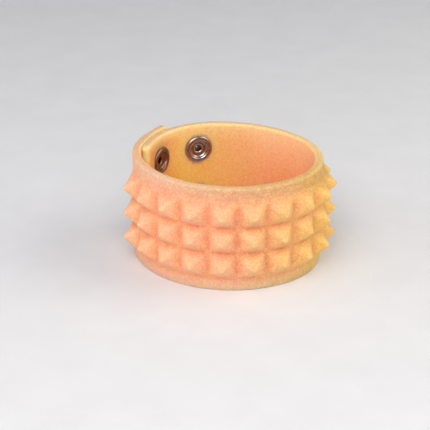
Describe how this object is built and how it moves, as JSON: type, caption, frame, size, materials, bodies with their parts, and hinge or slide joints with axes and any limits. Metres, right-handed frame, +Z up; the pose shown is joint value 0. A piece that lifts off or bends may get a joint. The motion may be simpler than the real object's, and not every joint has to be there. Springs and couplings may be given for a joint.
{
  "type": "silicone bracelet",
  "caption": "Wide soft silicone cuff with rows of square pyramid studs outside, lapped plain ends and metal press snaps.",
  "frame": {"origin": "on the floor, under the middle of the part's outline seen from above", "axes": "+Z up along the wrist hollow, +X along the loop's longer side, -Y towards the side opposite the spare snaps, where the picture looks from"},
  "size_m": [0.0732, 0.0662, 0.0374],
  "materials": {
    "silicone": "matte, slightly translucent",
    "snap_metal": "polished, a little dark"
  },
  "bodies": {
    "root": {"band": "silicone", "eyelet_worn_upper": "snap_metal", "eyelet_worn_lower": "snap_metal", "eyelet_spare_upper": "snap_metal", "eyelet_spare_lower": "snap_metal", "button_worn_upper": "snap_metal", "button_worn_lower": "snap_metal", "button_spare_upper": "snap_metal", "button_spare_lower": "snap_metal", "cap_upper": "snap_metal", "cap_lower": "snap_metal"}
  },
  "joints": []
}
